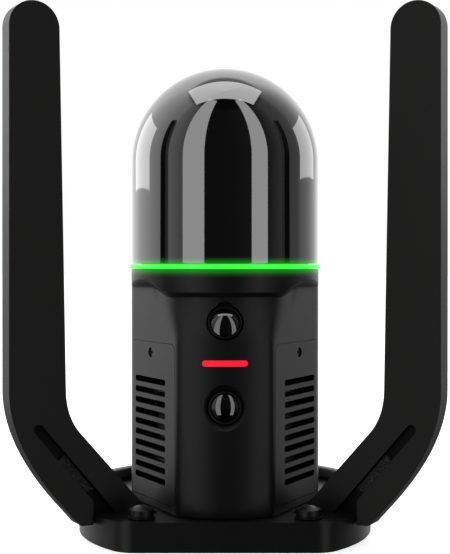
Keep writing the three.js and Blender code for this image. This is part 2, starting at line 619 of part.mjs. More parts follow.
for (const [side, label] of sides) {
  const half = fan.size / 2;
  const inner = fan.face - fan.thickness;
  const outline = roundedRectangle(-half, half, -half, half, 2.5);
  const struts = [0, 1, 2].map((i) => block(-0.9, 0.9, 4, fan.bore + 0.4, inner, inner + 1)
    .rotateZ(radians(120 * i)));
  const place = (geometry) => facing(geometry.clone().translate(0, fan.height, 0), sideAzimuth(side));
  add(`${label}_fan_frame`, place(join(cut(prism(outline, inner, fan.face, 3), rod(fan.bore, 0, 40, 36)), [
    rod(fan.hub, inner, inner + 1), ...struts,
  ])), blackPlastic);
  const blades = Array.from({ length: fan.blades }, (_, i) => block(-0.5, 0.5, 4, fan.tip, -2.6, 2.6)
    .rotateY(radians(40)).translate(0, 0, inner + 4.2).rotateZ(radians(360 * i / fan.blades)));
  add(`${label}_fan_rotor`, place(join(rod(fan.hub, inner + 1.6, inner + 6.6), blades)), blackPlastic);
}

// Turning motor, bearings and slip ring on the deck
const deckTop = deck.bottom + deck.thickness;
const boreRadius = spindle.radius + running;
add('slip_ring', ring(spindle.radius + 0.6, 10, spindle.bottom - 1, deck.bottom - gap), blackPlastic);
add('azimuth_stator', ring(stator.inner, stator.outer, deckTop, deckTop + stator.height), brass);
add('lower_bearing', ring(boreRadius, stator.inner - gap, deckTop + gap, deckTop + 4.7, 24), steel);
add('upper_bearing', ring(boreRadius, stator.inner - gap, deckTop + 6, deckTop + stator.height, 24), steel);

// Scanning turret on its spindle
const flangeBottom = turret.bottom - gap - 3;
add('turret_spindle', revolve([
  [0, spindle.bottom], [spindle.radius, spindle.bottom], [spindle.radius, flangeBottom],
  [spindle.flange, flangeBottom], [spindle.flange, turret.bottom - gap], [0, turret.bottom - gap],
], 24), steel);
add('azimuth_rotor', ring(spindle.radius + gap, 18.5, flangeBottom - 2.5, flangeBottom - gap, 36), steel);

const turretTop = turret.bottom + turret.thickness;
const alongX = (geometry) => geometry.clone().rotateY(Math.PI / 2).translate(0, 0, turret.axis);
function cheek(from) {
  const shape = new THREE.Shape();
  shape.moveTo(-turret.halfDepth, turretTop - 1);
  shape.lineTo(turret.halfDepth, turretTop - 1);
  shape.lineTo(11, turret.axis);
  shape.absarc(0, turret.axis, 11, 0, Math.PI);
  return prism(shape, from, from + turret.cheekWidth, 10).rotateX(Math.PI / 2).rotateZ(Math.PI / 2);
}
add('turret', cut(join(rod(turret.radius, turret.bottom, turretTop, 32), [
  cheek(turret.cheek), cheek(-turret.cheek - turret.cheekWidth),
]), alongX(rod(6.5, -40, 40))), aluminium);
const cheekOuter = turret.cheek + turret.cheekWidth;
add('mirror_motor', alongX(ring(mirror.shaft + 0.4, 9, cheekOuter + gap, cheekOuter + 8)), blackPlastic);
add('mirror_shaft', alongX(rod(mirror.shaft, mirror.to + gap, cheekOuter + 6)), steel);
const bevelTool = block(-40, 40, -40, 40, 0, 60).rotateY(radians(-45)).translate(-2.5, 0, 0);
add('scan_mirror', cut(revolve([
  [0, mirror.from], [mirror.radius, mirror.from], [mirror.radius, mirror.to], [0, mirror.to],
], 32).rotateY(Math.PI / 2), bevelTool).translate(0, 0, turret.axis), silver);
add('laser_tube', alongX(revolve([
  [0, -cheekOuter - 6], [6.2, -cheekOuter - 6], [6.2, -15.5], [5.6, -15.5], [5.6, -19], [0, -19],
])), blackPlastic);
add('receiver_lens', alongX(revolve([
  [0, -18.7], [5.3, -18.7], [5.3, -17], [3.4, -16.2], [0, -15.8],
])), glass);

export default scanner;
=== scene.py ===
import json
from math import atan, atan2, cos, degrees, pi, radians, sin, sqrt
import bmesh
import bpy
from mathutils import Matrix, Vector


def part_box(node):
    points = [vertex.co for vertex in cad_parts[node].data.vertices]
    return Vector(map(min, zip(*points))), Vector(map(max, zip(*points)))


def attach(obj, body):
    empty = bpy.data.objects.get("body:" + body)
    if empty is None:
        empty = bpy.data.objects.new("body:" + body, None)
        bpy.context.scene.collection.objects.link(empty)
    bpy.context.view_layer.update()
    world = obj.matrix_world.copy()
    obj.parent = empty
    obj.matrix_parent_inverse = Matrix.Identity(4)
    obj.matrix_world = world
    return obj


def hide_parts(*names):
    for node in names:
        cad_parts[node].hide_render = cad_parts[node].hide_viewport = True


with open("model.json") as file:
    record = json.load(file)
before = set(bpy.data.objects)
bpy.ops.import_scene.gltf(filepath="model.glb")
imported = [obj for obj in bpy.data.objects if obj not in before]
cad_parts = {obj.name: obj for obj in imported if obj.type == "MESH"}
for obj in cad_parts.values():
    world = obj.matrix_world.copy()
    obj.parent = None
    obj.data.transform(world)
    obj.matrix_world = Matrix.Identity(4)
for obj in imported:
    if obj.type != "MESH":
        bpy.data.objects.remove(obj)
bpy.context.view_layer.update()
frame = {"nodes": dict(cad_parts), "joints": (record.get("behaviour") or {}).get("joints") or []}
scene = bpy.context.scene
scene.view_settings.view_transform = "Standard"
nodes = frame["nodes"]
print("frame loaded,", len(nodes), "nodes")

# Lengths are millimetres until a piece is finished, when its mesh goes to metres.
mm = 0.001


def span(node):
    low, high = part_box(node)
    return low / mm, high / mm


def middleOf(node):
    low, high = span(node)
    return (low + high) / 2


# ---- Camera, light and floor ----

shot = {"distance": 480, "height": 111.9, "lens": 72.65, "drop": -0.0235}


def placeCamera():
    data = bpy.data.cameras.new("camera")
    data.sensor_width = 36
    data.lens = shot["lens"]
    data.shift_y = shot["drop"]
    camera = bpy.data.objects.new("camera", data)
    camera.location = (0, -shot["distance"] * mm, shot["height"] * mm)
    camera.rotation_euler = (radians(90), 0, 0)
    scene.collection.objects.link(camera)
    scene.camera = camera


# Each panel: azimuth from the front, distance, width, lowest and highest edge, brightness
panels = {
    "leftStrip": {"azimuth": -37.9, "away": 1.8, "width": 0.86, "low": -1.6, "high": 6.0, "glow": 1.6},
    "rightStrip": {"azimuth": 41.8, "away": 1.8, "width": 0.64, "low": -1.6, "high": 6.0, "glow": 1.6},
    "leftWing": {"azimuth": -121, "away": 1.3, "width": 0.86, "low": 0.23, "high": 0.86, "glow": 1.9},
    "rightWing": {"azimuth": 119, "away": 1.3, "width": 0.80, "low": 0.25, "high": 0.86, "glow": 1.6},
}
overhead = {"height": 1.45, "front": -0.32, "rear": 0.42, "width": 1.30, "glow": 2.2}


def addPanel(name, size, glow, place):
    data = bpy.data.lights.new(name, "AREA")
    data.shape = "RECTANGLE"
    data.size, data.size_y = size
    data.energy = glow * pi * size[0] * size[1]
    light = bpy.data.objects.new(name, data)
    light.matrix_world = place
    light.visible_camera = False
    scene.collection.objects.link(light)


def lightStudio():
    for name, panel in panels.items():
        turn = Matrix.Rotation(radians(panel["azimuth"]), 4, "Z")
        middle = (panel["low"] + panel["high"]) / 2
        place = turn @ Matrix.Translation((0, -panel["away"], middle)) @ Matrix.Rotation(radians(90), 4, "X")
        addPanel(name, (panel["width"], panel["high"] - panel["low"]), panel["glow"], place)
    depth = overhead["rear"] - overhead["front"]
    middle = (overhead["rear"] + overhead["front"]) / 2
    place = Matrix.Translation((0, middle, overhead["height"]))
    addPanel("overhead", (overhead["width"], depth), overhead["glow"], place)


# ---- Shader maths ----


class Signal:
    # One output socket; sums and products of signals add Math nodes
    def __init__(self, graph, socket):
        self.graph = graph
        self.socket = socket

    def maths(self, operation, first, second=0.0):
        made = self.graph.node("ShaderNodeMath", {"operation": operation}, {0: first, 1: second})
        return self.graph.signal(made)

    def __add__(self, other):
        return self.maths("ADD", self, other)

    def __radd__(self, other):
        return self.maths("ADD", other, self)

    def __sub__(self, other):
        return self.maths("SUBTRACT", self, other)

    def __rsub__(self, other):
        return self.maths("SUBTRACT", other, self)

    def __mul__(self, other):
        return self.maths("MULTIPLY", self, other)

    def __rmul__(self, other):
        return self.maths("MULTIPLY", other, self)

    def __truediv__(self, other):
        return self.maths("DIVIDE", self, other)

    def __gt__(self, other):
        return self.maths("GREATER_THAN", self, other)


class Graph:
    # The node tree of one material or of the world
    def __init__(self, owner):
        owner.use_nodes = True
        self.tree = owner.node_tree
        self.tree.nodes.clear()

    def node(self, kind, settings=None, inputs=None):
        made = self.tree.nodes.new(kind)
        for key, value in (settings or {}).items():
            if key == "stops":
                self.setStops(made.color_ramp, value)
            else:
                setattr(made, key, value)
        for key, value in (inputs or {}).items():
            if isinstance(value, Signal):
                self.tree.links.new(value.socket, made.inputs[key])
            else:
                made.inputs[key].default_value = value
        return made

    def setStops(self, ramp, stops):
        while len(ramp.elements) < len(stops):
            ramp.elements.new(1)
        for element, (place, level) in zip(ramp.elements, stops):
            element.position = place
            element.color = (level, level, level, 1)

    def signal(self, made, output=0):
        return Signal(self, made.outputs[output])

    def ramp(self, source, stops):
        return self.signal(self.node("ShaderNodeValToRGB", {"stops": stops}, {0: source}))

    def smooth(self, source, low, high, start=0.0, end=1.0):
        inputs = {"Value": source, "From Min": low, "From Max": high, "To Min": start, "To Max": end}
        return self.signal(self.node("ShaderNodeMapRange", {"interpolation_type": "SMOOTHSTEP"}, inputs))


# Brightness of the studio's walls by azimuth from the front, as shares of the brightest. The walls darken
# towards the ground, and in the gap below the overhead panel: over which elevations, and down to what level
walls = {
    "bright": 1.63,
    "left": [(0, 0.012), (51.6, 0.012), (52.6, 0.19), (69, 0.30), (72, 0.30), (73.6, 0.42), (84, 0.45),
             (106, 0.66), (123, 0.78), (137, 1), (180, 1)],
    "right": [(0, 0.012), (54, 0.03), (60, 0.05), (72, 0.09), (74, 0.115),
              (98, 0.15), (106, 0.27), (114, 0.32), (123, 0.42), (137, 0.68), (150, 1), (180, 1)],
    "ground": {"from": -24, "to": -4, "level": 0.15},
    "gap": {"from": 58, "to": 65, "level": 0.3},
}


def wallRamp(graph, turn, side):
    return graph.ramp(turn, [(angle / 180, level) for angle, level in walls[side]])


def fade(graph, height, part, start, end):
    low, high = sin(radians(walls[part]["from"])), sin(radians(walls[part]["to"]))
    return graph.smooth(height, low, high, start, end)


def paintWorld():
    world = bpy.data.worlds.new("studio")
    scene.world = world
    graph = Graph(world)
    way = graph.signal(graph.node("ShaderNodeTexCoord"), "Generated")
    parts = graph.node("ShaderNodeSeparateXYZ", inputs={0: way})
    x, y, z = [graph.signal(parts, i) for i in range(3)]
    square = x * x + y * y
    flat = square.maths("SQRT", square)
    turn = flat.maths("ARCCOSINE", (0 - y) / flat) * (1 / pi)
    left, right = wallRamp(graph, turn, "left"), wallRamp(graph, turn, "right")
    mixed = graph.node("ShaderNodeMix", {"data_type": "RGBA"}, {"Factor": x > 0, "A": left, "B": right})
    wall = graph.signal(mixed, "Result")
    ground = fade(graph, z, "ground", walls["ground"]["level"], 1)
    gap = fade(graph, z, "gap", 1, walls["gap"]["level"])
    dimmed = {"Factor": ground * gap, "A": (0, 0, 0, 1), "B": wall}
    level = graph.signal(graph.node("ShaderNodeMix", {"data_type": "RGBA"}, dimmed), "Result")
    seen = graph.signal(graph.node("ShaderNodeLightPath"), "Is Camera Ray")
    studio = graph.node("ShaderNodeBackground", inputs={"Color": level, "Strength": walls["bright"]})
    plain = graph.node("ShaderNodeBackground", inputs={"Color": (1, 1, 1, 1), "Strength": 1.0})
    shown = {0: seen, 1: graph.signal(studio), 2: graph.signal(plain)}
    both = graph.node("ShaderNodeMixShader", inputs=shown)
    graph.node("ShaderNodeOutputWorld", inputs={"Surface": graph.signal(both)})


# ---- Finishes ----

finishes = {}


def newFinish(name):
    material = bpy.data.materials.new(name)
    graph = Graph(material)
    finishes[name] = material
    return graph


def closeFinish(graph, **inputs):
    named = {key.replace("_", " "): value for key, value in inputs.items()}
    shader = graph.node("ShaderNodeBsdfPrincipled", inputs=named)
    graph.node("ShaderNodeOutputMaterial", inputs={"Surface": graph.signal(shader)})


def noise(graph, size, detail=3.0, stretch=None):
    place = graph.signal(graph.node("ShaderNodeTexCoord"), "Object")
    if stretch:
        place = graph.signal(graph.node("ShaderNodeMapping", inputs={"Vector": place, "Scale": stretch}))
    inputs = {"Vector": place, "Scale": 1 / (size * mm), "Detail": detail, "Roughness": 0.6}
    return graph.signal(graph.node("ShaderNodeTexNoise", inputs=inputs), 0)


def tint(graph, factor, dark, light):
    inputs = {"Factor": factor, "A": (*dark, 1), "B": (*light, 1)}
    return graph.signal(graph.node("ShaderNodeMix", {"data_type": "RGBA"}, inputs), "Result")


def bump(graph, height, depth, strength=0.5):
    inputs = {"Height": height, "Distance": depth * mm, "Strength": strength}
    return graph.signal(graph.node("ShaderNodeBump", inputs=inputs))


# A sprayed or moulded coat: colour drift, gloss drift, and a fine grain in relief
coats = {
    # blackPaint's glow: the heights over which the light ring's green light is painted as emission on the
    # collar
    "blackPaint": {"dark": (0.0036, 0.0036, 0.0034), "light": (0.0052, 0.0052, 0.0049), "rough": 0.40,
                   "shine": 0.24, "drift": 0.07, "grain": 0.35, "relief": 0.010, "glow": (105.6, 109.9)},
    "armPaint": {"dark": (0.0050, 0.0050, 0.0045), "light": (0.0070, 0.0070, 0.0063), "rough": 0.45,
                 "shine": 0.16, "drift": 0.07, "grain": 0.4, "relief": 0.012},
    "blackPlastic": {"dark": (0.0030, 0.0030, 0.0031), "light": (0.0048, 0.0048, 0.0050), "rough": 0.42,
                     "shine": 0.25, "drift": 0.08, "grain": 0.3, "relief": 0.008},
    "blackenedSteel": {"dark": (0.010, 0.010, 0.011), "light": (0.018, 0.018, 0.019), "rough": 0.4,
                       "shine": 0.4, "drift": 0.1, "grain": 0.25, "relief": 0.006},
    "rubber": {"dark": (0.006, 0.006, 0.006), "light": (0.012, 0.012, 0.012), "rough": 0.72,
               "shine": 0.4, "drift": 0.1, "grain": 0.5, "relief": 0.02},
    "stripRubber": {"dark": (0.004, 0.004, 0.004), "light": (0.075, 0.075, 0.074), "rough": 0.8,
                    "shine": 0.3, "drift": 0.1, "grain": 0.5, "relief": 0.03, "speckled": True},
    # The groove liner's coat is darker than the arm paint: painted shade on the floor of each arm's groove
    "grooveBlack": {"dark": (0.0024, 0.0024, 0.0023), "light": (0.0034, 0.0034, 0.0032), "rough": 0.6,
                    "shine": 0.10, "drift": 0.1, "grain": 0.4, "relief": 0.01},
    # markRed's lift is painted light: the print gives off its own colour as emission, brighter than its
    # lighting
    "markRed": {"dark": (0.86, 0.010, 0.030), "light": (0.94, 0.014, 0.040), "rough": 0.45,
                "shine": 0.15, "drift": 0.06, "grain": 0.3, "relief": 0.006, "lift": 0.55},
}


# Painted light that a finish gives off though it is no lamp: the mark's bright print lit up as emission
# beyond its lighting, or the light ring's green glow painted by height on the finishes near the ring
def paintedGlow(graph, look):
    # The mark's print gives off painted light of its own colour
    if "lift" in look:
        return {"Emission_Color": (*look["light"], 1), "Emission_Strength": look["lift"]}
    if "glow" not in look:
        return {}
    # The light ring's green light painted on the finish as emission, stronger towards the ring
    place = graph.signal(graph.node("ShaderNodeTexCoord"), "Object")
    height = graph.signal(graph.node("ShaderNodeSeparateXYZ", inputs={"Vector": place}), "Z")
    near = graph.smooth(height, look["glow"][0] * mm, look["glow"][1] * mm)
    colour = tint(graph, near * near, (0, 0, 0), (0.006, 0.20, 0.008))
    return {"Emission_Color": colour, "Emission_Strength": 1.0}


def mixCoat(name, look):
    graph = newFinish(name)
    broad = noise(graph, 9, 4)
    fine = noise(graph, look["grain"], 2)
    rough = broad * look["drift"] + fine * look["drift"] + (look["rough"] - look["drift"])
    spread = graph.smooth(fine, 0.48, 0.68) if look.get("speckled") else broad
    colour = tint(graph, spread, look["dark"], look["light"])
    closeFinish(
        graph, Base_Color=colour, Roughness=rough, Normal=bump(graph, fine, look["relief"]), IOR=1.5,
        Specular_IOR_Level=look["shine"], **paintedGlow(graph, look),
    )


metals = {
    "steel": {"dark": (0.42, 0.42, 0.43), "light": (0.60, 0.60, 0.61), "rough": 0.26, "brush": (1, 1, 9)},
    "aluminium": {"dark": (0.60, 0.61, 0.62), "light": (0.78, 0.78, 0.79), "rough": 0.34, "brush": (1, 6, 6)},
    "brass": {"dark": (0.48, 0.32, 0.09), "light": (0.72, 0.50, 0.17), "rough": 0.3, "brush": (1, 1, 5)},
}


def mixMetal(name, look):
    graph = newFinish(name)
    brushed = noise(graph, 2.5, 3, look["brush"])
    colour = tint(graph, brushed, look["dark"], look["light"])
    closeFinish(
        graph, Base_Color=colour, Metallic=1.0, Roughness=brushed * 0.16 + look["rough"],
        Normal=bump(graph, brushed, 0.01, 0.3),
    )


# Heights over which the light ring's green light is painted as emission on the dome's foot
domeFootRingGlow = {"glow": (115.6, 111.8)}


def mixDomeGloss():
    graph = newFinish("domeGloss")
    haze = noise(graph, 14, 3)
    ripple = noise(graph, 60, 1)
    closeFinish(
        graph, Base_Color=tint(graph, haze, (0.0012, 0.0012, 0.0013), (0.0020, 0.0020, 0.0021)),
        Roughness=haze * 0.03 + 0.02, Normal=bump(graph, ripple, 0.05, 0.1), IOR=2.3, **paintedGlow(graph, domeFootRingGlow),
    )


def mixLensGlass():
    graph = newFinish("lensGlass")
    haze = noise(graph, 5, 2)
    closeFinish(
        graph, Base_Color=tint(graph, haze, (0.0012, 0.0015, 0.0022), (0.0020, 0.0018, 0.0030)),
        Roughness=haze * 0.02 + 0.015, IOR=1.85,
    )


def mixLightGreen():
    graph = newFinish("lightGreen")
    glow = tint(graph, noise(graph, 1.2, 2), (0.016, 0.95, 0.018), (0.022, 1.0, 0.026))
    closeFinish(
        graph, Base_Color=(0.02, 0.5, 0.03, 1), Roughness=0.4, Emission_Color=glow, Emission_Strength=1.9,
    )


# A green board with a regular grid of round pads
def mixCircuit():
    graph = newFinish("circuit")
    place = graph.signal(graph.node("ShaderNodeTexCoord"), "Object")
    inputs = {"Vector": place, "Scale": 1 / (3 * mm), "Randomness": 0.0}
    cell = graph.signal(graph.node("ShaderNodeTexVoronoi", inputs=inputs), "Distance")
    track = graph.smooth(cell, 0.30, 0.42)
    closeFinish(
        graph, Base_Color=tint(graph, track, (0.012, 0.085, 0.026), (0.004, 0.035, 0.012)),
        Roughness=track * 0.2 + 0.35, Normal=bump(graph, track, 0.03),
    )


def mixMirrorCoat():
    graph = newFinish("mirrorCoat")
    haze = noise(graph, 6, 2)
    closeFinish(
        graph, Base_Color=tint(graph, haze, (0.86, 0.86, 0.85), (0.93, 0.93, 0.92)), Metallic=1.0,
        Roughness=haze * 0.03 + 0.02,
    )


def mixFloorPaper():
    graph = newFinish("floorPaper")
    mottle = noise(graph, 40, 3)
    closeFinish(
        graph, Base_Color=tint(graph, mottle, (0.86, 0.86, 0.86), (0.90, 0.90, 0.90)), Roughness=0.7,
        Emission_Color=(1, 1, 1, 1), Emission_Strength=0.55,
    )


def layFloor():
    bm = bmesh.new()
    bmesh.ops.create_circle(bm, cap_ends=True, radius=12, segments=64)
    mesh = bpy.data.meshes.new("floor")
    bm.to_mesh(mesh)
    mesh.materials.append(finishes["floorPaper"])
    floor = bpy.data.objects.new("floor", mesh)
    floor.visible_glossy = False
    floor.visible_diffuse = False
    floor.visible_shadow = False
    scene.collection.objects.link(floor)


placeCamera()
lightStudio()
paintWorld()
for name, look in coats.items():
    mixCoat(name, look)
for name, look in metals.items():
    mixMetal(name, look)
mixDomeGloss()
mixLensGlass()
mixLightGreen()
mixCircuit()
mixMirrorCoat()
mixFloorPaper()
layFloor()
print("studio and finishes ready")

# ---- Making pieces ----


def meshOf(bm, name):
    mesh = bpy.data.meshes.new(name)
    bm.to_mesh(mesh)
    bm.free()
    return mesh


def shade(mesh, angle=35):
    mesh.shade_smooth()
    mesh.set_sharp_from_angle(angle=radians(angle))


# Finishes a piece: millimetres to metres, rounded edges, finish, body and the CAD node that it stands for
def finishPiece(bm, name, finish, body="root", replaced=None, edge=0, segments=2, angle=35):
    bmesh.ops.remove_doubles(bm, verts=bm.verts, dist=0.001)
    bmesh.ops.recalc_face_normals(bm, faces=bm.faces)
    bmesh.ops.scale(bm, vec=(mm, mm, mm), verts=bm.verts)
    mesh = meshOf(bm, name)
    shade(mesh, angle)
    mesh.materials.append(finishes[finish])
    piece = bpy.data.objects.new(name, mesh)
    scene.collection.objects.link(piece)
    if edge:
        rounding = piece.modifiers.new("rounding", "BEVEL")
        rounding.width = edge * mm
        rounding.segments = segments
        rounding.limit_method = "ANGLE"
        rounding.angle_limit = radians(angle)
        rounding.harden_normals = True
    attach(piece, body)
    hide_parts(replaced or name.replace("_shown", ""))


# Joins, cuts or overlaps solids with the Boolean modifier and returns the result
def combine(bm, others, operation="DIFFERENCE"):
    base = bpy.data.objects.new("work", meshOf(bm, "work"))
    scene.collection.objects.link(base)
    tools = []
    for other in others:
        bmesh.ops.recalc_face_normals(other, faces=other.faces)
        tool = bpy.data.objects.new("cutter", meshOf(other, "cutter"))
        scene.collection.objects.link(tool)
        boolean = base.modifiers.new("cut", "BOOLEAN")
        boolean.operation = operation
        boolean.solver = "EXACT"
        boolean.object = tool
        tools.append(tool)
    evaluated = base.evaluated_get(bpy.context.evaluated_depsgraph_get())
    made = bmesh.new()
    made.from_mesh(evaluated.to_mesh())
    for item in [base, *tools]:
        bpy.data.objects.remove(item)
    return made


def arc(x, y, radius, start, end, steps):
    turns = [radians(start + (end - start) * i / steps) for i in range(steps + 1)]
    return [(x + radius * cos(turn), y + radius * sin(turn)) for turn in turns]


def bend(start, control, end, steps=8):
    shares = [i / steps for i in range(steps + 1)]
    return [
        tuple((1 - t) ** 2 * a + 2 * t * (1 - t) * b + t * t * c for a, b, c in zip(start, control, end))
        for t in shares
    ]


# A closed outline in XY, raised along Z
def prism(outline, low, high):
    bm = bmesh.new()
    face = bm.faces.new([bm.verts.new((x, y, low)) for x, y in outline])
    raised = bmesh.ops.extrude_face_region(bm, geom=[face])["geom"]
    moved = [item for item in raised if isinstance(item, bmesh.types.BMVert)]
    bmesh.ops.translate(bm, verts=moved, vec=(0, 0, high - low))
    bmesh.ops.recalc_face_normals(bm, faces=bm.faces)
    return bm


def roundedOutline(x0, x1, y0, y1, radius, steps=6):
    return [
        *arc(x1 - radius, y0 + radius, radius, -90, 0, steps),
        *arc(x1 - radius, y1 - radius, radius, 0, 90, steps),
        *arc(x0 + radius, y1 - radius, radius, 90, 180, steps),
        *arc(x0 + radius, y0 + radius, radius, 180, 270, steps),
    ]


# A closed profile of radius and height, turned about Z
def turned(profile, steps=64, sweep=360, start=0):
    bm = bmesh.new()
    corners = [bm.verts.new((radius, 0, height)) for radius, height in profile]
    if sweep == 360:
        geometry = corners + [bm.edges.new(pair) for pair in zip(corners, corners[1:] + corners[:1])]
    else:
        bm.faces.new(corners)
        geometry = bm.verts[:] + bm.edges[:] + bm.faces[:]
    bmesh.ops.rotate(bm, verts=bm.verts, matrix=Matrix.Rotation(radians(start), 3, "Z"))
    bmesh.ops.spin(
        bm, geom=geometry, axis=(0, 0, 1), angle=radians(sweep), steps=steps, use_merge=sweep == 360,
    )
    bmesh.ops.remove_doubles(bm, verts=bm.verts, dist=0.0005)
    bmesh.ops.dissolve_degenerate(bm, edges=bm.edges, dist=0.0005)
    bmesh.ops.recalc_face_normals(bm, faces=bm.faces)
    bmesh.ops.delete(bm, geom=[edge for edge in bm.edges if not edge.link_faces], context="EDGES")
    return bm


def rod(radius, low, high, steps=48):
    bm = bmesh.new()
    bmesh.ops.create_cone(
        bm, cap_ends=True, segments=steps, radius1=radius, radius2=radius, depth=high - low,
        matrix=Matrix.Translation((0, 0, (low + high) / 2)),
    )
    return bm


def block(x0, x1, y0, y1, z0, z1):
    bm = bmesh.new()
    middle = Matrix.Translation(((x0 + x1) / 2, (y0 + y1) / 2, (z0 + z1) / 2))
    size = Matrix.Diagonal((x1 - x0, y1 - y0, z1 - z0, 1))
    bmesh.ops.create_cube(bm, size=1, matrix=middle @ size)
    return bm


def moved(bm, matrix):
    bmesh.ops.transform(bm, matrix=matrix, verts=bm.verts)
    return bm


# Stands a shape drawn along +Z so that +Z points outwards at an azimuth from the front and +Y points up
def facing(bm, azimuth, distance=0, height=0, elevation=0):
    stand = Matrix.Rotation(radians(90 - elevation), 4, "X")
    place = Matrix.Translation((0, -distance, height))
    return moved(bm, Matrix.Rotation(radians(azimuth), 4, "Z") @ place @ stand)


# ---- Housing ----

gap = 0.3
foot = span("housing_shell")[0].z
housing = {
    "radius": 40, "flat": 36, "flatAzimuth": 60, "flatReach": 75, "column": 43.8, "wall": 4.4, "foot": 1.2,
    "undercut": 0.2, "rim": 0.35,
}
neck = {
    "waist": 83.2, "slope": 0.37, "sideFrom": 50, "sideTo": 70, "rearSlope": 0.45, "rearFrom": 101,
    "rearTo": 139, "rearFade": 7, "bend": 3,
}
# The edge rises over the side flats and again at the back; each pair is where it starts and ends
collar = {
    "edge": 98.6, "rise": 3.4, "sideUp": (34, 56), "sideDown": (90, 98), "backUp": (142, 150),
    "top": span("housing_shell")[1].z, "flange": 3, "opening": 30, "swell": 1.2, "spread": 0.7,
}
# Widths of the soft corners between the flats and the rounds: low on the housing, on the neck, at its top
blend = {"low": 1.1, "high": 2.2, "top": 3.4, "reach": 4, "narrow": (45, 60)}


def smoothstep(value, low, high):
    share = min(max((value - low) / (high - low), 0), 1)
    return share * share * (3 - 2 * share)


def softMinimum(a, b, width):
    near = max(width - abs(a - b), 0) / width
    return min(a, b) - near * near * width / 4


def flatRadius(offset):
    if abs(offset) < housing["flatReach"]:
        return housing["flat"] / cos(radians(offset))
    return 1000


# Outer radius of the housing below the collar
def housingRadius(azimuth, height):
    turn = abs(azimuth)
    rise = -softMinimum(0, neck["waist"] - height, neck["bend"])
    dip = smoothstep(turn, neck["rearFrom"], neck["rearFrom"] + neck["rearFade"])
    dip -= smoothstep(turn, neck["rearTo"] - neck["rearFade"], neck["rearTo"])
    front = housing["column"] - neck["slope"] * rise
    rear = housing["radius"] - neck["rearSlope"] * rise * dip
    share = smoothstep(turn, neck["sideFrom"], neck["sideTo"])
    under, over = neck["waist"] - blend["reach"], neck["waist"] + blend["reach"]
    width = blend["low"] + (blend["high"] - blend["low"]) * smoothstep(height, under, over)
    width += (blend["top"] - blend["high"]) * smoothstep(height, over, collar["edge"])
    width += (blend["low"] - width) * smoothstep(turn, *blend["narrow"])
    sided = softMinimum(front + (rear - front) * share, flatRadius(turn - housing["flatAzimuth"]), width)
    return softMinimum(sided, flatRadius(180 - turn), blend["low"])


def collarEdge(azimuth):
    turn = abs(azimuth)
    side = smoothstep(turn, *collar["sideUp"]) - smoothstep(turn, *collar["sideDown"])
    return collar["edge"] + collar["rise"] * (side + smoothstep(turn, *collar["backUp"]))


# Puts a point on a row, which gives radius and height at an azimuth
def place(vert, row):
    azimuth = degrees(atan2(vert.co.x, -vert.co.y))
    radius, height = row(azimuth)
    vert.co = (radius * sin(radians(azimuth)), -radius * cos(radians(azimuth)), height)


# Raises a ring of points through rows; only the first and the last row keep a face across the ring
def loft(rows, count=288):
    bm = bmesh.new()
    bmesh.ops.create_circle(bm, cap_ends=True, radius=1, segments=count)
    face = bm.faces[:][0]
    for vert in bm.verts:
        place(vert, rows[0])
    for row in rows[1:]:
        top = bmesh.ops.extrude_face_region(bm, geom=[face], use_keep_orig=True)["geom"]
        if row is not rows[1]:
            bmesh.ops.delete(bm, geom=[face], context="FACES_ONLY")
        face = next(item for item in top if isinstance(item, bmesh.types.BMFace))
        for vert in face.verts:
            place(vert, row)
    bmesh.ops.recalc_face_normals(bm, faces=bm.faces)
    return bm


def atHeight(height, inset=0):
    return lambda azimuth: (housingRadius(azimuth, height) - inset, height)


# Rows that climb the neck in equal shares, from just above the waist to the collar's edge
def neckRow(share):
    low = neck["waist"] + neck["bend"]

    def row(azimuth):
        height = low + (collarEdge(azimuth) - housing["undercut"] - low) * share
        return housingRadius(azimuth, height), height

    return row


# Rows that swell from the neck out to the collar in a soft curve
def swellRow(share):
    def row(azimuth):
        edge = collarEdge(azimuth)
        inner = housingRadius(azimuth, edge - housing["undercut"])
        out = smoothstep(share, 0, 1)
        tall = collar["swell"] + collar["spread"] * (housing["radius"] - inner)
        return inner + (housing["radius"] - inner) * out, edge - housing["undercut"] + tall * share

    return row


def housingBlank():
    low, soft = foot, housing["foot"]
    return loft([
        lambda azimuth: (housingRadius(azimuth, low) - soft, low),
        lambda azimuth: (housingRadius(azimuth, low) - soft * 0.3, low + soft * 0.3),
        atHeight(low + soft),
        atHeight(neck["waist"] - 6),
        *[atHeight(neck["waist"] + neck["bend"] * (step / 4 - 1)) for step in range(8)],
        *[neckRow(share / 8) for share in range(9)],
        *[swellRow(share) for share in (0.12, 0.25, 0.4, 0.55, 0.7, 0.85, 1)],
        lambda azimuth: (housing["radius"], collar["top"] - housing["rim"]),
        lambda azimuth: (housing["radius"] - housing["rim"], collar["top"]),
    ])


# A core that follows the housing's outside at a set depth
def plainInset(inset, low, high):
    return loft([atHeight(low, inset), atHeight(high, inset)])


panel = {
    "bottom": 15.5, "top": 79.8, "front": 22.4, "rear": -22, "corner": 3, "thickness": 2, "rearHalf": 14.6,
    "ledge": 0.55, "margin": 3,
}
window = {"bottom": 19.5, "top": 69.5, "front": 18.5, "rear": -16, "rearHalf": 11.5}
vent = {"count": 10, "pitch": 4.46, "height": 2.5, "first": 65.2, "from": -13.3, "to": 14.3, "round": 1.05}
panelScrew = {"along": 0.9, "height": 75.5, "head": 1.7, "well": 2, "seat": 1.8, "shank": 1.3, "fromEdge": 5}
connector = {"height": 28, "radius": 6.8, "bore": 5, "nut": 8.4, "reach": 4, "inside": 8, "flats": 18}
sides = {"right": 1, "left": -1}


def sideOutline(side, grow=0.0):
    front, rear = panel["front"] + grow, panel["rear"] - grow
    x0, x1 = (-front, -rear) if side > 0 else (rear, front)
    return roundedOutline(x0, x1, panel["bottom"] - grow, panel["top"] + grow, panel["corner"] + grow)


